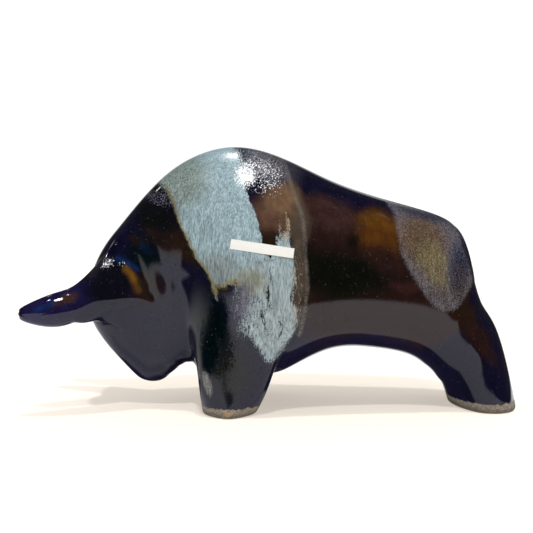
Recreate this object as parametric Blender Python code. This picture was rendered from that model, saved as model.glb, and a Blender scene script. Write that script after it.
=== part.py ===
"""A charging bull in glazed ceramic, cast as one body, with a small blank paper label on its flank.

The bull faces -X, its left flank faces -Y, and it stands on the plane Z = 0.
Its skin is a cage of four-sided faces under a Subdivision Surface. The cage is
solved so that the smooth skin passes through every point given below.
"""

import math

import bmesh
import bpy
import numpy as np
from mathutils import Vector
from mathutils.bvhtree import BVHTree

# Driving sizes, in metres. The figure's own forms are shares of LENGTH.
LENGTH = 0.328
TAIL_RADIUS = 0.0050
LABEL_LENGTH = 0.040
LABEL_HEIGHT = 0.0062
LABEL_THICKNESS = 0.0003
LABEL_TILT = math.radians(8.7)
CLEARANCE = 0.0003

# The figure is drawn on a scale of its own, on which it is SPAN long.
SPAN = 1025
MIDDLE = 9.4

# The body is one tube of rings from the muzzle over the back to the hind soles.
# A ring is back x, back z, belly x, belly z, half width, squareness and pear:
# a pear of 0.2 makes the belly side a fifth wider and the back side narrower.
RINGS = {
    "muzzle": (-293, 62, -220, 60, 36, 2.2, 0.00),
    "nose": (-322, 94, -206, 72, 56, 2.5, 0.00),
    "face": (-363, 145, -197, 80, 72, 2.8, 0.00),
    "brow": (-391, 212, -190, 84, 86, 2.8, 0.00),
    "poll": (-373, 311, -183, 87, 97, 2.6, 0.00),
    "nape": (-328, 380, -174, 88, 104, 2.5, 0.00),
    "neck": (-264, 455, -163, 83, 114, 2.4, -0.08),
    "chest": (-184, 521, -153, 66, 128, 2.3, 0.03),
    "shoulder": (-78, 551, -66, 58, 178, 2.3, 0.22),
    "withers": (30, 525, 24, 72, 174, 2.3, 0.20),
    "ribs": (128, 479, 112, 114, 160, 2.4, 0.13),
    "loin": (238, 440, 202, 122, 146, 2.5, 0.08),
    "rump": (352, 406, 285, 108, 134, 2.5, 0.06),
    "tail_root": (399, 370, 326, 86, 127, 2.5, 0.04),
    "haunch": (419, 306, 346, 70, 121, 2.6, 0.00),
    "hock": (447, 220, 361, 52, 120, 2.2, 0.00),
    "shank": (487, 142, 377, 26, 117, 2.1, 0.00),
    "hind_sole": (522, -20, 394, -22, 111, 2.2, 0.00),
}
SEGMENTS = 12
MUZZLE_SEAM = [(-276, 51), (-256, 46), (-236, 49)]
SOLE_SEAM = [(489, -24), (457, -26), (425, -24)]

# The fore legs are one block under the chest. A level is height, front x, back x,
# half width and how square its corners are.
FORE_LEG = [
    (56, -149, -4, 167, 0.88),
    (-16, -144, -34, 162, 0.74),
]

# The horns reach forward and a little outward. A section is x, z, distance from
# the middle, half height, half width, its tilt in degrees and how far its sides droop.
HORN = [
    (-352, 256, 98, 72, 46, 22, 36),
    (-396, 225, 118, 40, 37, 12, 14),
    (-442, 211, 138, 32, 30, 6, 4),
    (-491, 206, 153, 15, 14, 0, 0),
]
HORN_CORNER = 0.74
HORN_POINT = 10

# The tail lies on the rump as a ridge. Its outer edge runs through these points.
TAIL_EDGE = [(370, 399), (395, 385), (412, 362), (425, 330), (435, 291), (443, 254), (449, 218)]
TAIL_SIDES = 10

# The label is a strip stuck on the left flank.
LABEL_PLACE = (-19, 335)
LABEL_STEPS = 8

SUBDIVISIONS = 2


def at(x, z, y=0.0):
    """A point of the figure, from its own scale to metres."""
    return Vector((x - MIDDLE, y, z)) * LENGTH / SPAN


def bend(t, power):
    """cos or sin of a ring's angle, pushed outwards to square the ring."""
    return math.copysign(abs(t) ** (2 / power), t)


def ring_points(back_x, back_z, belly_x, belly_z, half_width, squareness, pear):
    """The points of one body ring, from the back down the left flank and up again."""
    points = []
    for j in range(SEGMENTS):
        angle = 2 * math.pi * j / SEGMENTS
        up = bend(math.cos(angle), squareness)
        side = -bend(math.sin(angle), squareness)
        x = (back_x + belly_x) / 2 + up * (back_x - belly_x) / 2
        z = (back_z + belly_z) / 2 + up * (back_z - belly_z) / 2
        points.append(at(x, z, side * half_width * (1 - pear * up)))
    return points


def draw_in(a, b, corner):
    """Draws in a grid's corners, so that its border is a rounded block."""
    pull = 1 - (1 - corner) * abs(a) * abs(b)
    return a * pull, b * pull


def fore_leg_section(height, front, back, half_width, corner):
    """Places the leg's grid, whose rows run backward and columns from left to right."""

    def place(a, b):
        a, b = draw_in(a, b, corner)
        x = (front + back) / 2 + a * (back - front) / 2
        return at(x, height, b * half_width)

    return place


def horn_section(side, x, z, y, half_height, half_width, tilt, droop):
    """Places a horn's grid, whose first corner is uppermost and whose last is lowest."""

    def place(a, b):
        point = HORN_POINT * (1 - max(abs(a), abs(b)))
        a, b = draw_in(a, b, HORN_CORNER)
        up = -(a + b) * half_height / math.sqrt(2)
        out = (b - a) * half_width / math.sqrt(2)
        lean = math.radians(tilt)
        return at(
            x - point + up * math.sin(lean) / 2,
            z + up * math.cos(lean) - droop * abs(a - b) / 2,
            side * (y + out),
        )

    return place


def is_edge(i, j, rows, columns):
    return i in (0, rows - 1) or j in (0, columns - 1)


def border(grid):
    """The outer points of a grid, in order round it."""
    right = [row[-1] for row in grid[1:-1]]
    left = [row[0] for row in grid[1:-1]]
    return grid[0] + right + grid[-1][::-1] + left[::-1]


class Cage:
    """Points that the skin passes through, and the four-sided faces between them."""

    def __init__(self):
        self.points = []
        self.faces = []

    def add(self, point):
        self.points.append(Vector(point))
        return len(self.points) - 1

    def wall(self, first, second):
        """Faces between two closed loops of as many points."""
        for k in range(len(first)):
            n = (k + 1) % len(first)
            self.faces.append((first[k], first[n], second[n], second[k]))

    def sheet(self, grid):
        """Faces between the rows and columns of a grid of points."""
        for upper, lower in zip(grid, grid[1:]):
            for k in range(len(upper) - 1):
                self.faces.append((upper[k], upper[k + 1], lower[k + 1], lower[k]))

    def limb(self, root, sections):
        """Grows a limb from a grid of skin points, through sections that place grid points."""
        rows, columns = len(root), len(root[0])
        before = border(root)
        for section in sections:
            grid = []
            for i in range(rows):
                row = []
                for j in range(columns):
                    point = section(2 * i / (rows - 1) - 1, 2 * j / (columns - 1) - 1)
                    keep = section is sections[-1] or is_edge(i, j, rows, columns)
                    row.append(self.add(point) if keep else None)
                grid.append(row)
            after = border(grid)
            self.wall(before, after)
            before = after
        self.sheet(grid)

    def cap(self, ring, seam):
        """Closes a ring with two columns of faces that meet along a seam."""
        half = SEGMENTS // 2
        middle = [ring[0]] + [self.add(at(*point)) for point in seam] + [ring[half]]
        self.sheet([ring[1:half], middle])
        self.sheet([middle, ring[:half:-1]])

    def drop_loose_points(self):
        """Leaves out the points that a limb has taken the faces from."""
        used = sorted({k for face in self.faces for k in face})
        place = {old: new for new, old in enumerate(used)}
        self.points = [self.points[k] for k in used]
        self.faces = [tuple(place[k] for k in face) for face in self.faces]

    def smoothing(self):
        """The matrix that carries cage points to the smooth skin of Catmull and Clark."""
        count = len(self.points)
        matrix = np.zeros((count, count))
        valence = np.zeros(count)
        for face in self.faces:
            for k in range(4):
                here, beside, across = face[k], face[(k + 1) % 4], face[(k + 2) % 4]
                valence[here] += 1
                matrix[here, beside] += 4
                matrix[here, across] += 1
        matrix[np.arange(count), np.arange(count)] += valence**2
        return matrix / (valence * (valence + 5))[:, None]

    def object(self, name):
        """The cage as a mesh object, solved so that its smooth skin passes through the points."""
        self.drop_loose_points()
        solved = np.linalg.solve(self.smoothing(), np.array(self.points))
        mesh = bpy.data.meshes.new(name)
        mesh.from_pydata(solved.tolist(), [], self.faces)
        bm = bmesh.new()
        bm.from_mesh(mesh)
        bmesh.ops.recalc_face_normals(bm, faces=bm.faces)
        bpy.data.meshes.remove(mesh)
        return mesh_object(name, bm)


def mesh_object(name, bm):
    mesh = bpy.data.meshes.new(name)
    bm.to_mesh(mesh)
    bm.free()
    mesh.shade_smooth()
    made = bpy.data.objects.new(name, mesh)
    bpy.context.scene.collection.objects.link(made)
    return made


def bull_cage():
    """The body's rings, with faces left out where the fore leg block and the horns grow."""
    cage = Cage()
    names = list(RINGS)
    rings = [[cage.add(point) for point in ring_points(*ring)] for ring in RINGS.values()]
    chest, nape = names.index("chest"), names.index("nape")
    for i in range(len(rings) - 1):
        for j in range(SEGMENTS):
            in_leg = i in (chest, chest + 1) and 4 <= j < 8
            in_horn = i in (nape - 2, nape - 1) and j in (1, 2, 9, 10)
            if not in_leg and not in_horn:
                n = (j + 1) % SEGMENTS
                cage.faces.append((rings[i][j], rings[i][n], rings[i + 1][n], rings[i + 1][j]))
    cage.cap(rings[0], MUZZLE_SEAM)
    cage.cap(rings[-1], SOLE_SEAM)
    leg_root = [rings[i][4:9] for i in range(chest, chest + 3)]
    cage.limb(leg_root, [fore_leg_section(*level) for level in FORE_LEG])
    for side, columns in ((-1, (1, 2, 3)), (1, (11, 10, 9))):
        horn_root = [[rings[i][j] for j in columns] for i in (nape, nape - 1, nape - 2)]
        cage.limb(horn_root, [horn_section(side, *level) for level in HORN])
    return cage


def tail_ridge():
    """A tapered tube whose ends lie inside the rump."""
    edge = [at(x, z) for x, z in TAIL_EDGE]
    across = Vector((0, 1, 0))
    bm = bmesh.new()
    loops = []
    for k, point in enumerate(edge):
        along = edge[min(k + 1, len(edge) - 1)] - edge[max(k - 1, 0)]
        inward = across.cross(along).normalized()
        end = abs(2 * k / (len(edge) - 1) - 1)
        radius = TAIL_RADIUS * (1 - 0.45 * end)
        centre = point + inward * (radius + TAIL_RADIUS * end**4)
        loop = []
        for s in range(TAIL_SIDES):
            angle = 2 * math.pi * s / TAIL_SIDES
            offset = inward * math.cos(angle) + across * math.sin(angle)
            loop.append(bm.verts.new(centre + offset * radius))
        loops.append(loop)
    for first, second in zip(loops, loops[1:]):
        for s in range(TAIL_SIDES):
            n = (s + 1) % TAIL_SIDES
            bm.faces.new((first[s], first[n], second[n], second[s]))
    bm.faces.new(loops[0])
    bm.faces.new(loops[-1])
    bmesh.ops.recalc_face_normals(bm, faces=bm.faces)
    return mesh_object("tail_ridge", bm)


def ground_block():
    """What lies below the soles."""
    depth = 0.2 * LENGTH
    bm = bmesh.new()
    bmesh.ops.create_cube(bm, size=1)
    bmesh.ops.scale(bm, vec=(2 * LENGTH, LENGTH, depth), verts=bm.verts)
    bmesh.ops.translate(bm, vec=(0, 0, -depth / 2), verts=bm.verts)
    return mesh_object("ground_block", bm)


def combine(target, tool, operation):
    """A Boolean of the target with a tool that is itself no part of the object."""
    change = target.modifiers.new(tool.name, "BOOLEAN")
    change.operation = operation
    change.object = tool
    tool.hide_render = True
    tool.display_type = "WIRE"


def material(name, colour, roughness):
    made = bpy.data.materials.new(name)
    made.use_nodes = True
    shader = made.node_tree.nodes["Principled BSDF"]
    shader.inputs["Base Color"].default_value = (*colour, 1)
    shader.inputs["Roughness"].default_value = roughness
    shader.inputs["Metallic"].default_value = 0
    return made


def make_bull():
    bull = bull_cage().object("bull")
    smooth = bull.modifiers.new("smooth skin", "SUBSURF")
    smooth.levels = SUBDIVISIONS
    smooth.render_levels = SUBDIVISIONS
    combine(bull, tail_ridge(), "UNION")
    combine(bull, ground_block(), "DIFFERENCE")
    bull.data.materials.append(material("dark glaze", (0.020, 0.018, 0.045), 0.08))
    return bull


def make_label(bull):
    """A strip of paper that follows the flank, CLEARANCE outside it."""
    skin = BVHTree.FromObject(bull, bpy.context.evaluated_depsgraph_get())
    centre = at(*LABEL_PLACE)
    along = Vector((math.cos(LABEL_TILT), 0, -math.sin(LABEL_TILT)))
    upward = Vector((math.sin(LABEL_TILT), 0, math.cos(LABEL_TILT)))
    bm = bmesh.new()
    layers = []
    for lift in (CLEARANCE, CLEARANCE + LABEL_THICKNESS):
        rows = []
        for v in (-0.5, 0, 0.5):
            row = []
            for k in range(LABEL_STEPS + 1):
                u = k / LABEL_STEPS - 0.5
                start = centre + along * u * LABEL_LENGTH + upward * v * LABEL_HEIGHT
                start.y = -LENGTH
                hit, normal, _, _ = skin.ray_cast(start, Vector((0, 1, 0)))
                row.append(bm.verts.new(hit + normal * lift))
            rows.append(row)
        layers.append(rows)
    for rows in layers:
        for lower, upper in zip(rows, rows[1:]):
            for k in range(LABEL_STEPS):
                bm.faces.new((lower[k], lower[k + 1], upper[k + 1], upper[k]))
    inner, outer = (border(rows) for rows in layers)
    for k in range(len(inner)):
        n = (k + 1) % len(inner)
        bm.faces.new((inner[k], inner[n], outer[n], outer[k]))
    bmesh.ops.recalc_face_normals(bm, faces=bm.faces)
    label = mesh_object("paper_label", bm)
    label.data.shade_flat()
    label.data.materials.append(material("white paper", (0.82, 0.82, 0.80), 0.55))
    return label


def main():
    for old in list(bpy.data.objects):
        bpy.data.objects.remove(old)
    bull = make_bull()
    bpy.context.view_layer.update()
    make_label(bull)


main()
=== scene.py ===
"""The looks of a charging bull in dark running glaze, with bare clay at its soles.

The skin is built from the same rings as the solid, only finer, and takes the solid's
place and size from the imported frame.
"""

import math

import bmesh
import bpy
import numpy as np
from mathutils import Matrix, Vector


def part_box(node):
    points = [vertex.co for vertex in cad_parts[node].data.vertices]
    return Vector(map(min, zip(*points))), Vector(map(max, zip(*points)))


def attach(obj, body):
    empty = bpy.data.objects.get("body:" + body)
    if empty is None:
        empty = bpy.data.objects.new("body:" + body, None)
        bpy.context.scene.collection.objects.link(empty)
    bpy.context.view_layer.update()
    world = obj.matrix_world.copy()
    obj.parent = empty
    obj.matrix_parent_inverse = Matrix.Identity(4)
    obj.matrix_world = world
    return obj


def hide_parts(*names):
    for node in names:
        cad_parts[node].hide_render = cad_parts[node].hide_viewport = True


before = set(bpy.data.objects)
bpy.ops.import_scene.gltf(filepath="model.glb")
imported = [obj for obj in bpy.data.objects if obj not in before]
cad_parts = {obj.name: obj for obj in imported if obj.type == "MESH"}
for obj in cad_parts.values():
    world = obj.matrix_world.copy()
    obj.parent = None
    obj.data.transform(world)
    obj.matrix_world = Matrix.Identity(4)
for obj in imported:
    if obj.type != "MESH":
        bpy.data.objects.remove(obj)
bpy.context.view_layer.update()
LOW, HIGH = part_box("bull")

# The figure's own scale, as in the solid. One unit is 0.32 mm, and x is counted from a
# point MIDDLE units in front of the middle of the footprint.
UNIT = 0.328 / 1025
MIDDLE = 9.4
# Points round a ring, and how many times the skin is subdivided.
SEGMENTS = 12
SMOOTHNESS = 4

# A ring is back x, back z, belly x, belly z, half width, squareness and pear.
RINGS = {
    "muzzle": (-293, 62, -220, 60, 36, 2.2, 0.00),
    "nose": (-322, 94, -206, 72, 56, 2.5, 0.00),
    "face": (-363, 145, -197, 80, 72, 2.8, 0.00),
    "brow": (-391, 212, -190, 84, 86, 2.8, 0.00),
    "poll": (-373, 311, -183, 87, 97, 2.6, 0.00),
    "nape": (-328, 380, -174, 88, 104, 2.5, 0.00),
    "neck": (-264, 455, -163, 83, 114, 2.4, -0.08),
    "chest": (-184, 521, -153, 66, 128, 2.3, 0.03),
    "shoulder": (-78, 551, -66, 58, 178, 2.3, 0.22),
    "withers": (30, 525, 24, 72, 174, 2.3, 0.20),
    "ribs": (128, 479, 112, 114, 160, 2.4, 0.13),
    "loin": (238, 440, 202, 122, 146, 2.5, 0.08),
    "rump": (352, 406, 285, 108, 134, 2.5, 0.06),
    "tail_root": (399, 370, 326, 86, 127, 2.5, 0.04),
    "haunch": (419, 306, 346, 70, 121, 2.6, 0.00),
    "hock": (447, 220, 361, 52, 120, 2.2, 0.00),
    "shank": (487, 142, 377, 26, 117, 2.1, 0.00),
    "hind_sole": (522, -20, 394, -22, 111, 2.2, 0.00),
}
# The points, as x and z, that close the muzzle and the hind sole along their middles.
MUZZLE_SEAM = [(-276, 51), (-256, 46), (-236, 49)]
SOLE_SEAM = [(489, -24), (457, -26), (425, -24)]
# A level of the fore leg is its height, front x, back x, half width and corner.
FORE_LEG = [(56, -149, -4, 167, 0.88), (-16, -144, -34, 162, 0.74)]
# A section of the horn is x, z, y, half height, half width, tilt and droop.
HORN = [
    (-352, 256, 98, 72, 46, 22, 36),
    (-396, 225, 118, 40, 37, 12, 14),
    (-442, 211, 138, 32, 30, 6, 4),
    (-491, 206, 153, 15, 14, 0, 0),
]
# How far out the corners of the horn's section stay, 1 being square, and how far the middle
# of its tip stands out past the tip's edge.
HORN_CORNER = 0.74
HORN_POINT = 10
# The tail's outer edge, as x and z, and its radius.
TAIL_EDGE = [(370, 399), (395, 385), (412, 362), (425, 330), (435, 291), (443, 254), (449, 218)]
TAIL_RADIUS = 15.6
# Steps along the tail from one point to the next, and sides round it.
TAIL_STEPS = 6
TAIL_SIDES = 20
# The rounding of the soles' rims, in metres, and the heights of the edges cut round it, as
# shares of the rounding.
SOLE_ROUNDING = 0.0011
ROUNDING_LEVELS = (1.6, 1.0, 0.55, 0.2)


def at(x, z, y=0.0):
    """A place on the figure's own scale, in metres."""
    return Vector((x - MIDDLE, y, z)) * UNIT


def bend(t, power):
    return math.copysign(abs(t) ** (2 / power), t)


def ring_points(back_x, back_z, belly_x, belly_z, half_width, squareness, pear):
    points = []
    for j in range(SEGMENTS):
        angle = 2 * math.pi * j / SEGMENTS
        up = bend(math.cos(angle), squareness)
        side = -bend(math.sin(angle), squareness)
        x = (back_x + belly_x) / 2 + up * (back_x - belly_x) / 2
        z = (back_z + belly_z) / 2 + up * (back_z - belly_z) / 2
        points.append(at(x, z, side * half_width * (1 - pear * up)))
    return points


def draw_in(a, b, corner):
    """A place in a square section, drawn towards the middle near the square's corners."""
    pull = 1 - (1 - corner) * abs(a) * abs(b)
    return a * pull, b * pull


def fore_leg_section(height, front, back, half_width, corner):
    def place(a, b):
        a, b = draw_in(a, b, corner)
        return at((front + back) / 2 + a * (back - front) / 2, height, b * half_width)

    return place


def horn_section(side, x, z, y, half_height, half_width, tilt, droop):
    def place(a, b):
        point = HORN_POINT * (1 - max(abs(a), abs(b)))
        a, b = draw_in(a, b, HORN_CORNER)
        up = -(a + b) * half_height / math.sqrt(2)
        out = (b - a) * half_width / math.sqrt(2)
        lean = math.radians(tilt)
        across = side * (y + out)
        fall = droop * abs(a - b) / 2
        return at(x - point + up * math.sin(lean) / 2, z + up * math.cos(lean) - fall, across)

    return place


def border(grid):
    """The outer points of a grid, in order round it."""
    right = [row[-1] for row in grid[1:-1]]
    left = [row[0] for row in grid[1:-1]]
    return grid[0] + right + grid[-1][::-1] + left[::-1]


class Cage:
    """Points that the skin passes through, and the four-sided faces between them."""

    def __init__(self):
        self.points = []
        self.faces = []

    def add(self, point):
        self.points.append(Vector(point))
        return len(self.points) - 1

    def sheet(self, grid):
        for upper, lower in zip(grid, grid[1:]):
            for k in range(len(upper) - 1):
                self.faces.append((upper[k], upper[k + 1], lower[k + 1], lower[k]))

    def limb(self, root, sections):
        """Grows a limb from a grid of skin points, through sections that place grid points."""
        rows, columns = len(root), len(root[0])
        before = border(root)
        for section in sections:
            grid = []
            for i in range(rows):
                row = []
                for j in range(columns):
                    point = section(2 * i / (rows - 1) - 1, 2 * j / (columns - 1) - 1)
                    edge = i in (0, rows - 1) or j in (0, columns - 1)
                    row.append(self.add(point) if edge or section is sections[-1] else None)
                grid.append(row)
            after = border(grid)
            for k in range(len(before)):
                n = (k + 1) % len(before)
                self.faces.append((before[k], before[n], after[n], after[k]))
            before = after
        self.sheet(grid)

    def cap(self, ring, seam):
        half = SEGMENTS // 2
        middle = [ring[0]] + [self.add(at(*point)) for point in seam] + [ring[half]]
        self.sheet([ring[1:half], middle])
        self.sheet([middle, ring[:half:-1]])

    def drop_loose_points(self):
        used = sorted({k for face in self.faces for k in face})
        place = {old: new for new, old in enumerate(used)}
        self.points = [self.points[k] for k in used]
        self.faces = [tuple(place[k] for k in face) for face in self.faces]

    def smoothing(self):
        """The matrix that carries cage points to the smooth skin of Catmull and Clark."""
        count = len(self.points)
        matrix = np.zeros((count, count))
        valence = np.zeros(count)
        for face in self.faces:
            for k in range(4):
                here, beside, across = face[k], face[(k + 1) % 4], face[(k + 2) % 4]
                valence[here] += 1
                matrix[here, beside] += 4
                matrix[here, across] += 1
        matrix[np.arange(count), np.arange(count)] += valence**2
        return matrix / (valence * (valence + 5))[:, None]

    def mesh(self, name):
        self.drop_loose_points()
        solved = np.linalg.solve(self.smoothing(), np.array(self.points))
        made = bpy.data.meshes.new(name)
        made.from_pydata(solved.tolist(), [], self.faces)
        return made


def bull_cage():
    cage = Cage()
    names = list(RINGS)
    rings = [[cage.add(point) for point in ring_points(*ring)] for ring in RINGS.values()]
    chest, nape = names.index("chest"), names.index("nape")
    for i in range(len(rings) - 1):
        for j in range(SEGMENTS):
            in_leg = i in (chest, chest + 1) and 4 <= j < 8
            in_horn = i in (nape - 2, nape - 1) and j in (1, 2, 9, 10)
            if not in_leg and not in_horn:
                n = (j + 1) % SEGMENTS
                cage.faces.append((rings[i][j], rings[i][n], rings[i + 1][n], rings[i + 1][j]))
    cage.cap(rings[0], MUZZLE_SEAM)
    cage.cap(rings[-1], SOLE_SEAM)
    leg_root = [rings[i][4:9] for i in range(chest, chest + 3)]
    cage.limb(leg_root, [fore_leg_section(*level) for level in FORE_LEG])
    for side, columns in ((-1, (1, 2, 3)), (1, (11, 10, 9))):
        horn_root = [[rings[i][j] for j in columns] for i in (nape, nape - 1, nape - 2)]
        cage.limb(horn_root, [horn_section(side, *level) for level in HORN])
    return cage


def new_object(name, mesh):
    made = bpy.data.objects.new(name, mesh)
    bpy.context.scene.collection.objects.link(made)
    return made


def smooth_skin():
    """The cage under its subdivision, as a bmesh."""
    mesh = bull_cage().mesh("skin")
    rough = new_object("skin", mesh)
    bm = bmesh.new()
    bm.from_mesh(mesh)
    bmesh.ops.recalc_face_normals(bm, faces=bm.faces)
    bm.to_mesh(mesh)
    bm.free()
    change = rough.modifiers.new("smooth skin", "SUBSURF")
    change.levels = SMOOTHNESS
    change.render_levels = SMOOTHNESS
    bm = bmesh.new()
    bm.from_object(rough, bpy.context.evaluated_depsgraph_get())
    bpy.data.objects.remove(rough)
    return bm


def cut_soles(bm):
    """Cuts the legs off level at the ground, closes them and rounds their rims."""
    for height in ROUNDING_LEVELS:
        geometry = bm.verts[:] + bm.edges[:] + bm.faces[:]
        level = Vector((0, 0, height * SOLE_ROUNDING))
        bmesh.ops.bisect_plane(bm, geom=geometry, plane_co=level, plane_no=(0, 0, 1), dist=1e-7)
    geometry = bm.verts[:] + bm.edges[:] + bm.faces[:]
    ground = Vector((0, 0, 0))
    cut = bmesh.ops.bisect_plane(
        bm, geom=geometry, plane_co=ground, plane_no=(0, 0, -1), clear_outer=True, dist=1e-7
    )
    bm.normal_update()
    for v in bm.verts:
        if v.co.z < SOLE_ROUNDING:
            flat = Vector((v.normal.x, v.normal.y, 0)).normalized()
            v.co.z = max(v.co.z, 0.0)
            gap = SOLE_ROUNDING - v.co.z
            v.co -= flat * (SOLE_ROUNDING - math.sqrt(SOLE_ROUNDING**2 - gap**2)) * 0.8
    rim = [e for e in cut["geom_cut"] if isinstance(e, bmesh.types.BMEdge)]
    bmesh.ops.edgeloop_fill(bm, edges=rim)
    bmesh.ops.recalc_face_normals(bm, faces=bm.faces)


def curve_through(points, steps):
    """A smooth open curve through the points, as an array with steps points to a span."""
    before = 2 * np.array(points[0]) - points[1]
    after = 2 * np.array(points[-1]) - points[-2]
    p = np.array([before, *points, after])
    rows = []
    for k in range(1, len(p) - 2):
        for s in range(steps):
            t = s / steps
            rows.append(
                0.5 * (2 * p[k] + (p[k + 1] - p[k - 1]) * t
                + (2 * p[k - 1] - 5 * p[k] + 4 * p[k + 1] - p[k + 2]) * t**2
                + (3 * p[k] - p[k - 1] - 3 * p[k + 1] + p[k + 2]) * t**3)
            )
    rows.append(p[-2])
    return np.array(rows)


def tail_ridge(bm):
    """Adds the tail to the skin, a tapered cord half sunk in the rump."""
    edge = [at(x, z) for x, z in curve_through(TAIL_EDGE, TAIL_STEPS)]
    across = Vector((0, 1, 0))
    loops = []
    for k, point in enumerate(edge):
        along = edge[min(k + 1, len(edge) - 1)] - edge[max(k - 1, 0)]
        inward = across.cross(along).normalized()
        end = abs(2 * k / (len(edge) - 1) - 1)
        radius = TAIL_RADIUS * UNIT * (1 - 0.45 * end)
        centre = point + inward * (radius + TAIL_RADIUS * UNIT * end**4)
        loop = []
        for s in range(TAIL_SIDES):
            angle = 2 * math.pi * s / TAIL_SIDES
            outward = inward * math.cos(angle) + across * math.sin(angle)
            loop.append(bm.verts.new(centre + outward * radius))
        loops.append(loop)
    faces = []
    for first, second in zip(loops, loops[1:]):
        for s in range(TAIL_SIDES):
            n = (s + 1) % TAIL_SIDES
            faces.append(bm.faces.new((first[s], first[n], second[n], second[s])))
    faces.append(bm.faces.new(loops[0]))
    faces.append(bm.faces.new(loops[-1][::-1]))
    bmesh.ops.recalc_face_normals(bm, faces=faces)


def fit_to_frame(bm):
    """Sets the skin to the solid's own length and place."""
    xs = [v.co.x for v in bm.verts]
    scale = (HIGH.x - LOW.x) / (max(xs) - min(xs))
    bmesh.ops.scale(bm, vec=(scale, scale, scale), verts=bm.verts)
    bmesh.ops.translate(bm, vec=(LOW.x - min(xs) * scale, 0, 0), verts=bm.verts)


# Glaze areas are laid out in side view, on the figure's own scale. The view is from
# EYE, and what it sees is carried along the line of sight to the plane of the flank.
EYE = Vector((-0.0064, -0.590, 0.119))
FLANK = 0.045


def side_view(points, side):
    """x and z on the flank's plane. side is -1 for the left flank and 1 for the right."""
    depth = -EYE.y - side * points[:, 1]
    t = (-EYE.y - FLANK) / depth
    x = EYE.x + (points[:, 0] - EYE.x) * t
    z = EYE.z + (points[:, 2] - EYE.z) * t
    return np.stack([x / UNIT + MIDDLE, z / UNIT], 1)


def wobble(view, size):
    """The same places with slow waves added, so that glaze edges run unevenly."""
    u, w = view[:, 0], view[:, 1]
    du = np.sin(w / 17 + 1.3) + 0.6 * np.sin(u / 11 + w / 23) + 0.5 * np.sin(w / 7.5 + u / 31)
    dw = np.sin(u / 19 + 0.7) + 0.6 * np.sin(w / 13 - u / 29) + 0.5 * np.sin(u / 8.1 + w / 37)
    return view + size * np.stack([du, dw], 1)


def inside_by(points, outline, steps=6):
    """How far each point is inside a smooth closed outline, in mm; below 0 is outside."""
    ring = [outline[-1], *outline, outline[0], outline[1]]
    loop = curve_through(ring, steps)[steps : -steps - 1]
    far = np.full(len(points), 1e9)
    inside = np.zeros(len(points), bool)
    for p, q in zip(loop, np.roll(loop, -1, 0)):
        d = q - p
        t = np.clip(((points - p) @ d) / (d @ d + 1e-9), 0, 1)
        far = np.minimum(far, np.linalg.norm(points - p - t[:, None] * d, axis=1))
        crosses = (p[1] > points[:, 1]) != (q[1] > points[:, 1])
        rise = q[1] - p[1] if abs(q[1] - p[1]) > 1e-9 else 1e-9
        inside ^= crosses & (points[:, 0] < p[0] + (points[:, 1] - p[1]) * d[0] / rise)
    return np.where(inside, far, -far) * UNIT * 1000


def line_gap(points, line, steps=6):
    """The distance to a smooth open line, in mm."""
    loop = curve_through(line, steps)
    far = np.full(len(points), 1e9)
    for p, q in zip(loop, loop[1:]):
        d = q - p
        t = np.clip(((points - p) @ d) / (d @ d + 1e-9), 0, 1)
        far = np.minimum(far, np.linalg.norm(points - p - t[:, None] * d, axis=1))
    return far * UNIT * 1000


def spot(points, x, z, half_x, half_z, turn=0.0):
    """A soft oval spot, 1 in its middle and 0 outside it."""
    c, s = math.cos(math.radians(turn)), math.sin(math.radians(turn))
    dx, dz = points[:, 0] - x, points[:, 1] - z
    u = (dx * c + dz * s) / half_x
    v = (-dx * s + dz * c) / half_z
    return eased(1.4 - np.hypot(u, v), 0.0, 0.95)


def eased(values, low, high):
    """A soft step, 0 at low and 1 at high."""
    t = np.clip((values - low) / (high - low), 0, 1)
    return t * t * (3 - 2 * t)


# The left flank's glazes, as outlines and lines of x and z in side view.
PALE_SHOULDER = [
    (-242, 532), (-228, 476), (-216, 458), (-204, 442), (-197, 426), (-190, 398), (-178, 368),
    (-162, 338), (-148, 310), (-134, 292), (-124, 274), (-117, 262), (-104, 259), (-84, 260),
    (-71, 266), (-59, 258), (-43, 246), (-19, 252), (-5, 282), (-2, 308), (-11, 332),
    (-19, 350), (-22, 364), (-27, 384), (-31, 406), (-41, 424), (-49, 448), (-55, 468),
    (-57, 496), (-67, 520), (-75, 540), (-77, 582), (-242, 582),
]
DRIP = [(-118, 272), (-114, 254), (-110, 234)]
PALE_LOBE = [
    (-67, 252), (-71, 226), (-63, 192), (-47, 162), (-25, 134), (-4, 110), (19, 132), (37, 158),
    (50, 184), (51, 210), (39, 230), (42, 252), (46, 274), (45, 300), (41, 326), (35, 350),
    (29, 368), (23, 372), (19, 356), (9, 336), (-3, 324), (-19, 328), (-33, 308), (-49, 282),
]
PALE_RUNS = [
    [(16, 344), (17, 392)],
    [(26, 350), (28, 414)],
    [(34, 340), (34, 396)],
    [(8, 330), (9, 360)],
]
DARK_RUNS = [
    [(-1, 322), (0, 300), (-5, 276), (-7, 256), (-5, 232), (-1, 214)],
    [(-19, 208), (-15, 188), (-11, 164)],
    [(16, 196), (18, 176), (14, 158)],
]
RUMP_CLOUD = [
    (239, 432), (247, 404), (253, 368), (261, 332), (275, 296), (295, 260), (317, 234), (337, 216),
    (353, 212), (375, 226), (389, 248), (395, 276), (389, 308), (381, 332), (375, 356), (363, 378),
    (351, 396), (345, 422), (329, 440), (287, 452),
]
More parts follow.
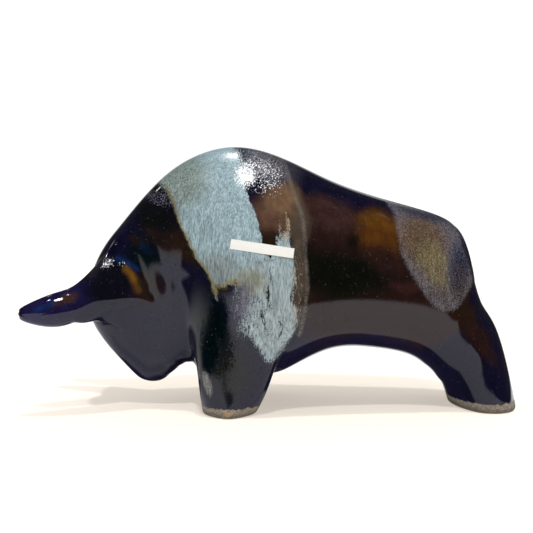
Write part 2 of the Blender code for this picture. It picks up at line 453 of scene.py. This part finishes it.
# Below the violet of the back the flank is brown.
BROWN_FLANK = [
    (23, 532), (27, 502), (39, 476), (49, 456), (57, 446), (81, 438), (107, 430), (123, 424),
    (139, 424), (153, 416), (165, 412), (185, 416), (207, 416), (225, 410), (241, 404), (300, 392),
    (360, 330), (400, 260), (380, 180), (300, 130), (180, 150), (80, 130), (62, 220), (40, 400),
]
THIN_RIM = [
    (19, 532), (25, 502), (35, 472), (45, 442), (55, 416), (61, 392), (66, 352), (69, 308),
    (70, 262), (69, 232), (64, 192), (53, 160),
]
TIDE_LINE = [(161, 356), (171, 372), (182, 387), (189, 396), (201, 400), (217, 402), (237, 392)]
# The right flank's, equal to the left's along the ridge of the back.
FAR_SHOULDER = [
    (-242, 532), (-228, 476), (-214, 446), (-206, 404), (-186, 352), (-158, 304), (-132, 264),
    (-112, 222), (-96, 250), (-72, 288), (-48, 262), (-32, 212), (-12, 204), (2, 250), (10, 310),
    (2, 360), (-16, 400), (-36, 424), (-49, 448), (-55, 468), (-57, 496), (-67, 520), (-75, 540),
    (-77, 582), (-242, 582),
]
FAR_CLOUD = [
    (239, 432), (262, 384), (290, 336), (330, 296), (370, 286), (388, 308), (381, 332), (375, 356),
    (363, 378), (351, 396), (345, 422), (329, 440), (287, 452),
]

# The dark glaze's colours.
VIOLET = (0.0026, 0.0024, 0.0110)
DEEP_VIOLET = (0.0070, 0.0052, 0.0330)
MAROON = (0.0120, 0.0050, 0.0042)
RUST = (0.0270, 0.0120, 0.0110)
RED = (0.0210, 0.0075, 0.0075)
ORANGE = (0.0560, 0.0200, 0.0032)
OCHRE = (0.1200, 0.0540, 0.0060)
UMBER = (0.0120, 0.0060, 0.0022)
BLACK_GREEN = (0.0018, 0.0022, 0.0010)
TEAL = (0.0006, 0.0026, 0.0036)
COBALT = (0.0020, 0.0240, 0.1000)
INK = (0.0022, 0.0022, 0.0052)
TAN = (0.1150, 0.0680, 0.0380)
BROWN = (0.0700, 0.0380, 0.0240)
TAUPE = (0.0560, 0.0420, 0.0310)
ASH = (0.0330, 0.0310, 0.0420)
ARCH_SHADE_INDIGO = (0.0048, 0.0040, 0.0160)

# A tone is a colour, how strong it is, and a spot of it in side view.
LEFT_TONES = [
    (RUST, 1.0, (112, 404, 70, 34, -12)),
    (BLACK_GREEN, 1.0, (128, 284, 130, 54, -4)),
    (MAROON, 1.0, (240, 330, 50, 46, -30)),
    (ORANGE, 0.95, (216, 364, 50, 44, -30)),
    (MAROON, 0.8, (214, 320, 46, 22, -10)),
    (OCHRE, 0.28, (210, 388, 38, 16, -8)),
    (RED, 1.0, (264, 257, 36, 9, -15)),
    (BLACK_GREEN, 0.9, (164, 350, 13, 12, 0)),
    (ASH, 1.0, (-10, 506, 66, 40, -30)),
    (TAUPE, 1.0, (46, 400, 24, 60, 10)),
    (BROWN, 1.0, (2, 400, 44, 40, 0)),
    (TAN, 1.0, (20, 436, 36, 32, 10)),
    (UMBER, 0.9, (-8, 350, 28, 26, 0)),
    (TAUPE, 0.9, (54, 290, 15, 120, 0)),
    (UMBER, 1.0, (-6, 240, 26, 90, 0)),
    (INK, 1.0, (-232, 426, 50, 44, 60)),
    (BLACK_GREEN, 0.8, (-226, 376, 50, 40, -40)),
    (UMBER, 0.9, (-176, 334, 44, 20, -50)),
    (MAROON, 0.6, (-216, 350, 50, 16, -30)),
    (UMBER, 0.8, (-262, 342, 26, 10, -30)),
    (TEAL, 1.0, (-250, 318, 34, 32, 0)),
    (UMBER, 0.8, (-250, 256, 36, 34, 0)),
    # Painted reflection: a pale haze behind the horn's root.
    (ASH, 0.9, (-350, 298, 26, 12, 40)),
    (DEEP_VIOLET, 1.0, (-430, 226, 90, 34, 16)),
    (INK, 1.0, (-326, 266, 52, 50, 0)),
    (RUST, 1.0, (-408, 233, 26, 12, 22)),
    (TEAL, 1.0, (-118, 150, 44, 110, 0)),
    (BLACK_GREEN, 1.0, (-76, 84, 34, 60, -14)),
    (UMBER, 1.0, (384, 200, 30, 30, -50)),
    (MAROON, 1.0, (410, 156, 20, 70, 36)),
]
# Painted shade: a dark band along the belly's arch, standing for the shadowed floor that the glaze
# reflects there.
ARCH_SHADE = [
    (7, 84), (33, 116), (63, 136), (107, 148), (157, 153), (207, 152), (257, 144), (287, 128),
    (317, 100), (347, 70), (369, 40), (385, 18),
]
# A line is a colour, how strong it is, its width in mm and its points.
LEFT_LINES = [
    # The first line is the painted shade along the arch.
    (ARCH_SHADE_INDIGO, 0.9, 6.0, ARCH_SHADE),
    (COBALT, 0.50, 3.0, [(-308, 315), (-294, 309), (-282, 302), (-270, 293)]),
    (COBALT, 0.14, 3.2, [(-262, 342), (-250, 334), (-243, 327)]),
    (OCHRE, 0.80, 3.6, [(-294, 294), (-284, 283), (-277, 270)]),
    (OCHRE, 0.40, 4.0, [(-278, 272), (-272, 258), (-268, 250)]),
    (COBALT, 0.45, 2.8, [(-468, 212), (-452, 221), (-438, 227)]),
    (MAROON, 1.0, 2.4, [(440, 216), (462, 186), (482, 140), (500, 70), (512, 20)]),
    (MAROON, 1.0, 5.0, [(399, 384), (418, 352), (430, 318), (440, 270), (450, 226)]),
]
RIGHT_TONES = [
    (RUST, 1.0, (130, 396, 90, 30, -12)),
    (BLACK_GREEN, 1.0, (150, 270, 150, 60, -4)),
    (ORANGE, 0.7, (190, 350, 50, 24, -20)),
    (ASH, 1.0, (-10, 506, 62, 34, -30)),
    (TAN, 0.8, (22, 420, 30, 50, 10)),
    (INK, 1.0, (-232, 426, 46, 44, 60)),
    (UMBER, 1.0, (-216, 322, 60, 50, -40)),
    (INK, 1.0, (-330, 272, 50, 48, 0)),
    (TEAL, 1.0, (-118, 120, 60, 90, 0)),
    (UMBER, 1.0, (386, 202, 36, 40, -50)),
]
RIGHT_LINES = [
    # The first line is the painted shade along the arch.
    (ARCH_SHADE_INDIGO, 0.9, 6.0, ARCH_SHADE),
    (MAROON, 1.0, 2.4, [(440, 216), (462, 186), (482, 140), (500, 70), (512, 20)]),
    (MAROON, 1.0, 5.0, [(399, 384), (418, 352), (430, 318), (440, 270), (450, 226)]),
]

# The pale glaze's colours, then its washes, written as the tones are.
PALE_BLUE = (0.244, 0.342, 0.380)
GREY_GREEN = (0.165, 0.215, 0.200)
GREY = (0.160, 0.190, 0.195)
CHALK = (0.255, 0.305, 0.325)
BONE = (0.145, 0.150, 0.110)
HAZE = (0.190, 0.170, 0.080)
YELLOW = (0.150, 0.115, 0.016)
MAUVE = (0.150, 0.138, 0.158)
SAND = (0.150, 0.098, 0.062)
MOSS = (0.210, 0.180, 0.095)
STEEL = (0.090, 0.100, 0.150)
BISCUIT = (0.230, 0.185, 0.120)
DUSK = (0.085, 0.080, 0.120)
REFLECTED_GREY = (0.330, 0.330, 0.320)
WASHES = [
    (GREY_GREEN, 1.0, (-182, 472, 60, 56, 60)),
    (DUSK, 1.0, (-232, 426, 30, 50, 60)),
    (GREY, 0.8, (-108, 282, 44, 46, 0)),
    (CHALK, 0.7, (5, 210, 70, 130, 0)),
    (BONE, 1.0, (-108, 242, 14, 18, 0)),
    (HAZE, 0.62, (-46, 268, 34, 28, 10)),
    (YELLOW, 1.0, (-82, 264, 18, 5, 10)),
    (MAUVE, 1.0, (4, 496, 60, 46, -30)),
    (BISCUIT, 1.0, (30, 400, 30, 50, 0)),
    (BISCUIT, 0.7, (56, 260, 14, 120, 0)),
    (DUSK, 0.9, (-70, 214, 24, 60, -24)),
    # Painted reflection: a pale strip at the fore leg's front.
    (REFLECTED_GREY, 1.0, (-128, 66, 20, 60, 14)),
    (MAUVE, 1.0, (320, 330, 170, 210, 0)),
    (SAND, 1.0, (302, 352, 46, 58, 30)),
    (MOSS, 0.9, (326, 302, 30, 60, 30)),
    (STEEL, 0.9, (372, 300, 22, 52, -12)),
    (STEEL, 0.7, (300, 410, 60, 16, -18)),
]
# Fine marks in the glaze, white specks of painted highlight, the clay below it, the label's paper
# and the table top.
PINPOINTS = (0.17, 0.18, 0.21)
PALE_RIM = (0.150, 0.138, 0.125)
TIDE_MARK = (0.100, 0.090, 0.090)
DASHES = (0.065, 0.075, 0.065)
YELLOW_EDGE = (0.140, 0.105, 0.014)
GLINT_WHITE = (0.80, 0.82, 0.86)
DARK_CLAY = (0.10, 0.085, 0.068)
LIGHT_CLAY = (0.24, 0.205, 0.16)
GOLDEN_CLAY = (0.34, 0.20, 0.09)
PAPER = ((0.66, 0.66, 0.64), (0.74, 0.74, 0.72))
SHADED_TABLE = (0.05, 0.05, 0.07)
WHITE_TABLE = (0.72, 0.71, 0.76)
# How far to each side of the middle the two flanks' glazes run together, in metres.
RIDGE = 0.012
# The largest distance from a line that is stored, in mm. All of the right flank has it.
FAR_OFF = 9


def painted(view, base, spots):
    """Colours at the places: a base with soft spots over it."""
    made = np.tile(np.array(base), (len(view), 1))
    for colour, strength, place in spots:
        share = strength * spot(view, *place)[:, None]
        made = made * (1 - share) + np.array(colour) * share
    return made


def dark_tones(view, spots, lines):
    """Colours of the dark glaze at the places: violet and brown, with spots and lines."""
    run = wobble(view, 3.0)
    brown = eased(inside_by(run, BROWN_FLANK), -0.8, 2.2)[:, None]
    made = np.array(VIOLET) * (1 - brown) + np.array(MAROON) * brown
    for colour, strength, place in spots:
        share = strength * spot(run, *place)[:, None]
        made = made * (1 - share) + np.array(colour) * share
    for colour, strength, width, line in lines:
        share = strength * eased(line_gap(wobble(view, 1.6), line), width, 0.1 * width)[:, None]
        made = made * (1 - share) + np.array(colour) * share
    return made


def left_cover(view):
    """How far the pale glaze covers the dark: under 0 bare, over 1 closed, speckled between."""
    run = wobble(view, 0.8)
    edge = 0.28 + 2.4 * spot(view, -214, 476, 34, 48, 50) + 4.0 * spot(view, -56, 506, 34, 46, 20)
    shoulder = 0.5 + inside_by(run, PALE_SHOULDER) / (2 * edge)
    thin = 0.28 * spot(view, -196, 490, 60, 50, 60) + 0.22 * spot(view, -100, 530, 80, 24)
    shoulder = np.maximum(shoulder, 0.5 + (1.2 - line_gap(view, DRIP)) / 0.5)
    shoulder = np.minimum(shoulder, 1.15 - thin)
    edge = 0.8 + 8.0 * spot(view, -62, 206, 40, 74, -30) + 1.6 * spot(view, 0, 120, 50, 40)
    lobe = 0.5 + inside_by(run, PALE_LOBE) / (2 * edge)
    lobe = np.minimum(lobe, 1.12 - 0.35 * spot(view, -50, 200, 40, 60, -30))
    for line in PALE_RUNS:
        lobe = np.maximum(lobe, 1.5 * eased(line_gap(view, line), 0.9, 0.0) - 0.65)
    for line in DARK_RUNS:
        lobe = lobe - 0.85 * eased(line_gap(wobble(view, 0.9), line), 1.7, 0.1)
    full = 0.52 + 0.03 * spot(view, 316, 320, 60, 60) - 0.20 * spot(view, 376, 290, 20, 56)
    full = full - 0.16 * spot(view, 298, 412, 60, 18, -18) - 0.07 * spot(view, 296, 344, 24, 30)
    full = full - 0.05 * spot(view, 345, 240, 40, 30)
    cloud = np.minimum(0.5 + inside_by(wobble(view, 1.5), RUMP_CLOUD) / 5.0, full)
    veil = 1.00 * spot(view, -14, 506, 66, 36, -30)
    veil = veil + 0.80 * spot(view, 50, 250, 18, 110) + 0.98 * spot(view, -224, 434, 18, 40, 68)
    # The last spot lets the painted reflection at the fore leg's front show through.
    veil = veil + 1.10 * spot(view, -129, 66, 12, 38, 14) - 0.65
    return np.maximum(np.maximum(np.maximum(shoulder, np.minimum(lobe, 1.12)), cloud), veil)


def right_cover(view):
    """The same for the right flank."""
    run = wobble(view, 2.0)
    edge = 0.5 + 2.0 * spot(view, -214, 476, 30, 44, 50) + 2.0 * spot(view, -50, 240, 60, 60)
    shoulder = np.minimum(0.5 + inside_by(run, FAR_SHOULDER) / (2 * edge), 1.1)
    cloud = np.minimum(0.5 + inside_by(run, FAR_CLOUD) / 4.5, 0.62)
    return np.maximum(shoulder, cloud)


def as_numbers(mesh, name, values):
    made = mesh.attributes.new(name, "FLOAT", "POINT")
    made.data.foreach_set("value", values.astype(np.float32))


def as_colours(mesh, name, values):
    made = mesh.attributes.new(name, "FLOAT_COLOR", "POINT")
    full = np.column_stack([values, np.ones(len(values))])
    made.data.foreach_set("color", full.astype(np.float32).ravel())


def lay_glaze(mesh):
    """Stores how the glazes lie, as numbers and colours at the skin's points."""
    co = np.zeros(len(mesh.vertices) * 3)
    mesh.vertices.foreach_get("co", co)
    co = co.reshape(-1, 3)
    # The two flanks' glazes run into each other over the ridge of the back.
    right = eased(co[:, 1], -RIDGE, RIDGE)
    share = right[:, None]
    near, far = side_view(co, -1), side_view(co, 1)
    view = near * (1 - share) + far * share
    cover = left_cover(near) * (1 - right) + right_cover(far) * right
    left_tone = dark_tones(near, LEFT_TONES, LEFT_LINES)
    tone = left_tone * (1 - share) + dark_tones(far, RIGHT_TONES, RIGHT_LINES) * share
    wash = painted(view, PALE_BLUE, WASHES)
    band = inside_by(wobble(near, 0.8), PALE_SHOULDER)
    on_edge = eased(-near[:, 0] - 0.12 * near[:, 1], 50, 60) * eased(near[:, 1], 476, 440)
    yellow = on_edge * eased(np.abs(band - 0.7), 1.3, 0.3) * eased(near[:, 1], 246, 262)
    drip_edge = eased(np.abs(line_gap(near, DRIP) - 1.0), 0.7, 0.2)
    yellow += 0.8 * drip_edge * eased(near[:, 1], 270, 256)
    yellow *= 1 - right
    rim = line_gap(wobble(near, 0.9), THIN_RIM) + FAR_OFF * right
    tide = line_gap(wobble(near, 0.9), TIDE_LINE) + FAR_OFF * right
    # Painted highlights: where white specks stand for the gleam on the shoulder and at the horn's
    # root.
    painted_glint = 1.0 * spot(view, -54, 482, 20, 26, -10) + 0.50 * spot(view, -16, 480, 42, 34, -30)
    painted_glint += 0.9 * spot(view, -327, 306, 13, 8, 20) + 0.5 * spot(view, -300, 304, 9, 4, -20)
    matte = spot(view, -110, 138, 36, 66, 8) + 0.8 * spot(view, -106, 212, 18, 44)
    matte += spot(view, -312, 348, 16, 22)
    # The second spot keeps the painted reflection at the fore leg's front smooth.
    soft = spot(view, 320, 330, 150, 200) + spot(view, -128, 66, 24, 70, 14)
    soft += 0.6 * spot(view, -66, 208, 30, 70, -26)
    gold = 0.7 * spot(view, -88, 3, 9, 5)
    as_numbers(mesh, "cover", np.clip(cover, -3, 4))
    as_numbers(mesh, "yellow", yellow)
    as_numbers(mesh, "rim", np.minimum(rim, FAR_OFF))
    as_numbers(mesh, "tide", np.minimum(tide, FAR_OFF))
    as_numbers(mesh, "painted_glint", painted_glint)
    as_numbers(mesh, "matte", matte)
    as_numbers(mesh, "soft", soft)
    as_numbers(mesh, "gold", gold)
    as_colours(mesh, "tone", tone)
    as_colours(mesh, "wash", wash)


class Nodes:
    """A material's nodes, made one line each."""

    def __init__(self, name):
        self.material = bpy.data.materials.new(name)
        self.material.use_nodes = True
        self.tree = self.material.node_tree
        self.shader = self.tree.nodes["Principled BSDF"]

    def set(self, socket, value):
        if isinstance(value, bpy.types.NodeSocket):
            self.tree.links.new(value, socket)
        elif hasattr(value, "__len__") and len(value) == 3 and socket.type == "RGBA":
            socket.default_value = (*value, 1)
        else:
            socket.default_value = value

    def node(self, kind, out=0, settings=(), **inputs):
        made = self.tree.nodes.new(kind)
        for key, value in dict(settings).items():
            setattr(made, key, value)
        for key, value in inputs.items():
            self.set(made.inputs[key.replace("_", " ")], value)
        return made.outputs[out]

    def stored(self, name):
        return self.node("ShaderNodeAttribute", "Fac", {"attribute_name": name})

    def math(self, operation, *values):
        made = self.tree.nodes.new("ShaderNodeMath")
        made.operation = operation
        for k, value in enumerate(values):
            self.set(made.inputs[k], value)
        return made.outputs[0]

    def mix(self, share, first, second):
        made = self.tree.nodes.new("ShaderNodeMix")
        made.data_type = "RGBA"
        self.set(made.inputs["Factor"], share)
        self.set(made.inputs[6], first)
        self.set(made.inputs[7], second)
        return made.outputs[2]

    def blend(self, share, first, second):
        """The same for plain numbers."""
        made = self.tree.nodes.new("ShaderNodeMix")
        made.data_type = "FLOAT"
        self.set(made.inputs["Factor"], share)
        self.set(made.inputs[2], first)
        self.set(made.inputs[3], second)
        return made.outputs[0]

    def ramp(self, value, low, high, to_low=0.0, to_high=1.0):
        made = self.tree.nodes.new("ShaderNodeMapRange")
        made.interpolation_type = "SMOOTHSTEP"
        limits = {"From Min": low, "From Max": high, "To Min": to_low, "To Max": to_high}
        for key, number in ({"Value": value} | limits).items():
            self.set(made.inputs[key], number)
        return made.outputs[0]

    def place(self, scale):
        """Object coordinates in millimetres, times scale."""
        where = self.node("ShaderNodeTexCoord", "Object")
        made = self.tree.nodes.new("ShaderNodeVectorMath")
        made.operation = "MULTIPLY"
        self.set(made.inputs[0], where)
        made.inputs[1].default_value = [1000 * s for s in scale]
        return made.outputs[0]

    def scaled(self, colour, amount):
        settings = {"operation": "SCALE"}
        return self.node("ShaderNodeVectorMath", 0, settings, Vector=colour, Scale=amount)

    def noise(self, grain, detail=3.0, stretch=(1, 1, 1)):
        """Noise whose grain is a length in millimetres, stretched along an axis."""
        where = self.place([1 / (grain * s) for s in stretch])
        return self.node("ShaderNodeTexNoise", "Fac", Vector=where, Scale=1.0, Detail=detail)


def glaze_material():
    n = Nodes("running glaze")
    fine = n.noise(0.60, 2.0)
    grain = n.noise(0.80, 1.0)
    runs = n.noise(0.62, 2.5, (1, 1, 9))
    long_runs = n.noise(1.8, 3.0, (1, 1, 12))
    tone = n.node("ShaderNodeAttribute", "Color", {"attribute_name": "tone"})
    wash = n.node("ShaderNodeAttribute", "Color", {"attribute_name": "wash"})
    # Broken colour and pinpoints in the dark glaze
    broken = n.ramp(n.noise(5.0, 5.0, (1, 1, 1.5)), 0.3, 0.7, 0.80, 1.20)
    dark = n.scaled(tone, broken)
    dark = n.mix(n.ramp(grain, 0.725, 0.77, 0.0, 0.50), dark, PINPOINTS)
    patchy = n.ramp(fine, 0.42, 0.62, 0.08, 0.80)
    rim = n.math("MULTIPLY", n.ramp(n.stored("rim"), 2.0, 0.1), patchy)
    dark = n.mix(rim, dark, PALE_RIM)
    tide = n.math("MULTIPLY", n.ramp(n.stored("tide"), 0.9, 0.1), n.ramp(fine, 0.35, 0.6, 0.1, 0.4))
    dark = n.mix(tide, dark, TIDE_MARK)
    # The pale glaze over it, streaked where it ran
    share = n.blend(n.stored("soft"), 0.7, 0.0)
    lengthways = n.math("MULTIPLY", n.math("SUBTRACT", runs, 0.5), share)
    fleck = n.math("ADD", n.math("SUBTRACT", fine, 0.5), lengthways)
    fleck = n.math("MULTIPLY", fleck, n.blend(n.stored("soft"), 2.4, 1.5))
    reach = n.blend(n.stored("soft"), 0.14, 0.42)
    low, high = n.math("SUBTRACT", 0.5, reach), n.math("ADD", 0.5, reach)
    cover = n.ramp(n.math("ADD", n.stored("cover"), fleck), low, high)
    streaked = n.scaled(wash, n.ramp(runs, 0.32, 0.68, 0.66, 1.26))
    streaked = n.scaled(streaked, n.ramp(long_runs, 0.35, 0.70, 1.13, 0.76))
    dashes = n.ramp(n.noise(0.9, 2.0, (1, 1, 3.2)), 0.62, 0.70, 0.0, 0.65)
    streaked = n.mix(dashes, streaked, DASHES)
    colour = n.mix(cover, dark, streaked)
    yellow = n.math("MULTIPLY", n.stored("yellow"), n.ramp(fine, 0.3, 0.6, 0.35, 0.95))
    colour = n.mix(yellow, colour, YELLOW_EDGE)
    # Painted highlights: white specks round the gleam on the shoulder and at the horn's root
    glints = n.noise(0.75, 1.5, (1, 1, 1.8))
    glints = n.math("ADD", glints, n.math("MULTIPLY", n.stored("painted_glint"), 0.20))
    nearby = n.ramp(n.stored("painted_glint"), 0.02, 0.12)
    glints = n.math("MULTIPLY", n.ramp(glints, 0.66, 0.73), nearby)
    colour = n.mix(glints, colour, GLINT_WHITE)
    # Unglazed clay at the soles
    height = n.node("ShaderNodeSeparateXYZ", 2, Vector=n.place((1, 1, 1)))
    uneven = n.math("MULTIPLY", n.math("SUBTRACT", n.noise(2.2, 4.0), 0.5), 5.0)
    clay = n.ramp(n.math("ADD", height, uneven), 6.2, 5.6)
    mottle = n.ramp(n.noise(1.1, 4.0), 0.35, 0.65)
    clay_colour = n.mix(mottle, DARK_CLAY, LIGHT_CLAY)
    # Painted shade: the clay darkens towards the ground, for the shadow where the sole meets the
    # floor.
    clay_colour = n.scaled(clay_colour, n.ramp(height, 0.5, 5.0, 0.55, 1.20))
    clay_colour = n.mix(n.stored("gold"), clay_colour, GOLDEN_CLAY)
    colour = n.mix(clay, colour, clay_colour)
    n.set(n.shader.inputs["Base Color"], colour)
    # The smooth dark glaze is glossy, the pale less, the clay hardly. Matte spots gleam less.
    roughness = n.blend(clay, n.blend(cover, 0.05, 0.28), 0.75)
    gleam = n.ramp(n.math("ADD", n.stored("matte"), fleck), 0.3, 0.7, 0.5, 0.06)
    n.set(n.shader.inputs["Specular IOR Level"], gleam)
    n.set(n.shader.inputs["Roughness"], roughness)
    n.shader.inputs["IOR"].default_value = 1.52
    relief = n.math("ADD", n.math("MULTIPLY", cover, 0.6), n.math("MULTIPLY", fine, 0.3))
    relief = n.math("ADD", relief, n.math("MULTIPLY", clay, -1.2))
    relief = n.math("ADD", relief, n.math("MULTIPLY", n.noise(9.0, 1.0), 0.5))
    bump = n.node("ShaderNodeBump", 0, Height=relief, Distance=0.0002, Strength=0.35)
    n.set(n.shader.inputs["Normal"], bump)
    return n.material


def paper_material():
    n = Nodes("white paper")
    fibre = n.noise(0.35, 4.0)
    colour = n.mix(n.ramp(fibre, 0.3, 0.7), *PAPER)
    n.set(n.shader.inputs["Base Color"], colour)
    n.shader.inputs["Roughness"].default_value = 0.6
    return n.material


def make_bull():
    bm = smooth_skin()
    cut_soles(bm)
    tail_ridge(bm)
    fit_to_frame(bm)
    mesh = bpy.data.meshes.new("bull_skin")
    bm.to_mesh(mesh)
    bm.free()
    mesh.shade_smooth()
    mesh.set_sharp_from_angle(angle=math.radians(50))
    lay_glaze(mesh)
    mesh.materials.append(glaze_material())
    bull = new_object("bull_skin", mesh)
    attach(bull, "root")
    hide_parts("bull")


def place_lamp(name, kind, strength, direction, gleam):
    """A lamp that shines from a direction. It either only lights, or only gleams in the glaze."""
    light = bpy.data.lights.new(name, kind)
    light.energy = strength
    made = bpy.data.objects.new(name, light)
    made.rotation_euler = (-Vector(direction)).to_track_quat("-Z", "Y").to_euler()
    made.visible_glossy = gleam
    made.visible_diffuse = not gleam
    bpy.context.scene.collection.objects.link(made)
    return made


def far_lamp(name, direction, width, strength, gleam=False):
    """A ceiling lamp far enough away to light the whole floor alike."""
    made = place_lamp(name, "SUN", strength, direction, gleam)
    made.data.angle = math.radians(width)


# A place on the left horn, in metres.
HORN_MIDDLE = Vector((-0.133, -0.048, 0.082))


def horn_lamp(name, direction, distance, strength):
    """A small lamp that gleams on the left horn."""
    made = place_lamp(name, "AREA", strength, direction, True)
    made.data.shape = "DISK"
    made.data.size = 0.02
    made.location = HORN_MIDDLE + Vector(direction) * distance


def flat_sheet(name, oblongs, height):
    """Level oblongs, each low x, low y, high x and high y, as one stage object."""
    bm = bmesh.new()
    for x0, y0, x1, y1 in oblongs:
        corners = [(x0, y0), (x1, y0), (x1, y1), (x0, y1)]
        bm.faces.new([bm.verts.new((x, y, height)) for x, y in corners])
    mesh = bpy.data.meshes.new(name)
    bm.to_mesh(mesh)
    bm.free()
    made = new_object(name, mesh)
    return made


def warm_white():
    """The floor's paint, which glows a little so that its shadows stay soft and pale."""
    paint = bpy.data.materials.new("warm white floor")
    paint.use_nodes = True
    shader = paint.node_tree.nodes["Principled BSDF"]
    shader.inputs["Base Color"].default_value = (0.59, 0.535, 0.475, 1)
    shader.inputs["Emission Color"].default_value = (0.45, 0.41, 0.365, 1)
    shader.inputs["Emission Strength"].default_value = 1.0
    shader.inputs["Roughness"].default_value = 0.9
    shader.inputs["Specular IOR Level"].default_value = 0.1
    return paint


# The table top as the glaze reflects it, as oblongs of low x, low y, high x and high y in
# metres. It runs on further in front of the head.
TABLE = [(-0.235, -0.255, 0.22, 0.32), (-0.52, -0.80, -0.19, -0.255), (-0.80, -1.80, -0.19, -0.80)]
# It is dark under the far half of the head and chest and under the belly. Each patch is
# low x, low y, high x, high y and the softness of its edge, in mm.
SHADE = [(-140, 0, 16, 60, 9), (10, -38, 116, 60, 3)]


def table_material():
    """White, and dark within the patches of SHADE."""
    n = Nodes("white table top")
    where = n.place((1, 1, 1))
    x, y = (n.node("ShaderNodeSeparateXYZ", k, Vector=where) for k in (0, 1))
    white = 1.0
    for x0, y0, x1, y1, soft in SHADE:
        away = []
        for value, low, high in ((x, x0, x1), (y, y0, y1)):
            off = n.math("ABSOLUTE", n.math("SUBTRACT", value, (low + high) / 2))
            half = (high - low) / 2
            away.append(n.ramp(off, half - soft, half + soft))
        white = n.math("MINIMUM", white, n.math("MAXIMUM", *away))
    colour = n.mix(white, SHADED_TABLE, WHITE_TABLE)
    n.set(n.shader.inputs["Base Color"], colour)
    n.shader.inputs["Roughness"].default_value = 0.9
    n.shader.inputs["Specular IOR Level"].default_value = 0.1
    return n.material


def make_floor():
    """A warm white floor, and a smaller table top that only the glaze reflects."""
    floor = flat_sheet("floor", [(-6, -6, 6, 6)], -0.0003)
    floor.visible_glossy = False
    floor.visible_shadow = False
    floor.data.materials.append(warm_white())
    sheet = flat_sheet("table_top", TABLE, -0.0001)
    sheet.visible_camera = False
    sheet.visible_diffuse = False
    sheet.visible_shadow = False
    sheet.data.materials.append(table_material())


def make_world():
    """White to the camera, an even fill for the colours, and a dim room for the gloss."""
    world = bpy.data.worlds.new("studio")
    bpy.context.scene.world = world
    world.use_nodes = True
    tree = world.node_tree
    tree.nodes.clear()

    def add(kind, **settings):
        made = tree.nodes.new(kind)
        for key, value in settings.items():
            setattr(made, key, value)
        return made

    def maths(operation, first, second):
        made = add("ShaderNodeMath", operation=operation)
        tree.links.new(first, made.inputs[0])
        tree.links.new(second, made.inputs[1])
        return made.outputs[0]

    def fade(value, start, end):
        made = add("ShaderNodeMapRange", interpolation_type="SMOOTHSTEP")
        made.inputs["From Min"].default_value = start
        made.inputs["From Max"].default_value = end
        tree.links.new(value, made.inputs["Value"])
        return made.outputs[0]

    rays = add("ShaderNodeLightPath")
    where = add("ShaderNodeTexCoord")
    parts = add("ShaderNodeSeparateXYZ")
    tree.links.new(where.outputs["Generated"], parts.inputs[0])
    x, y, z = parts.outputs
    # Only low bands of the room are bright: behind the bull, beside its head and, narrower,
    # in front of it.
    behind = maths("MULTIPLY", fade(y, 0.25, 0.55), fade(z, 0.5, 0.22))
    slant = add("ShaderNodeMath", operation="MULTIPLY_ADD")
    slant.inputs[1].default_value = -0.6
    tree.links.new(z, slant.inputs[0])
    tree.links.new(x, slant.inputs[2])
    behind = maths("MULTIPLY", behind, fade(slant.outputs[0], 0.12, 0.0))
    behind = maths("MULTIPLY", behind, fade(x, -0.45, -0.15))
    beside = maths("MULTIPLY", fade(x, -0.05, -0.30), fade(z, 0.22, 0.02))
    beside = maths("MULTIPLY", beside, fade(y, -0.35, 0.0))
    ahead = maths("MULTIPLY", fade(y, -0.45, -0.60), fade(z, 0.05, 0.02))
    ahead = maths("MULTIPLY", ahead, fade(x, -0.25, -0.32))
    ahead = maths("MULTIPLY", ahead, fade(x, -0.71, -0.64))
    bright = maths("MAXIMUM", maths("MAXIMUM", behind, beside), ahead)
    room = add("ShaderNodeBackground")
    strength = add("ShaderNodeMapRange")
    strength.inputs["To Min"].default_value = 0.03
    strength.inputs["To Max"].default_value = 1.0
    tree.links.new(bright, strength.inputs["Value"])
    tree.links.new(strength.outputs[0], room.inputs["Strength"])
    fill = add("ShaderNodeBackground")
    fill.inputs["Strength"].default_value = 0.73
    wall = add("ShaderNodeBackground")
    wall.inputs["Strength"].default_value = 1.05
    for node in (room, fill, wall):
        node.inputs["Color"].default_value = (1, 1, 1, 1)
    first = add("ShaderNodeMixShader")
    tree.links.new(rays.outputs["Is Glossy Ray"], first.inputs[0])
    tree.links.new(fill.outputs[0], first.inputs[1])
    tree.links.new(room.outputs[0], first.inputs[2])
    second = add("ShaderNodeMixShader")
    tree.links.new(rays.outputs["Is Camera Ray"], second.inputs[0])
    tree.links.new(first.outputs[0], second.inputs[1])
    tree.links.new(wall.outputs[0], second.inputs[2])
    out = add("ShaderNodeOutputWorld")
    tree.links.new(second.outputs[0], out.inputs["Surface"])


# The picture's width, the camera's focal length and the height of the eye's level above
# the picture's middle, all in pixels, and the sensor's width in mm.
PICTURE = 533
FOCAL_LENGTH = 852.7
EYE_LEVEL = 36.5
SENSOR = 36


def make_camera():
    data = bpy.data.cameras.new("camera")
    data.sensor_width = SENSOR
    data.lens = FOCAL_LENGTH / PICTURE * SENSOR
    data.shift_y = -EYE_LEVEL / PICTURE
    data.clip_start = 0.01
    camera = bpy.data.objects.new("camera", data)
    camera.location = EYE
    camera.rotation_euler = (math.radians(90), 0, 0)
    bpy.context.scene.collection.objects.link(camera)
    bpy.context.scene.camera = camera


make_bull()
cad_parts["paper_label"].data.materials.clear()
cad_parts["paper_label"].data.materials.append(paper_material())
make_floor()
make_world()
far_lamp("front_lamp", (0.0, -0.60, 1.0), 3.5, 1.25)
far_lamp("overhead_lamp", (0.03, -0.14, 1.0), 3.5, 1.20)
far_lamp("front_gleam", (0.05, -0.40, 1.2), 5.7, 1.8, True)
far_lamp("rear_gleam", (-0.12, 0.52, 1.2), 5.7, 0.9, True)
horn_lamp("horn_gleam", (-0.23, -0.20, 0.95), 0.35, 0.05)
horn_lamp("horn_back_gleam", (-0.41, 0.52, 0.74), 0.35, 0.010)
make_camera()
bpy.context.scene.view_settings.view_transform = "Standard"
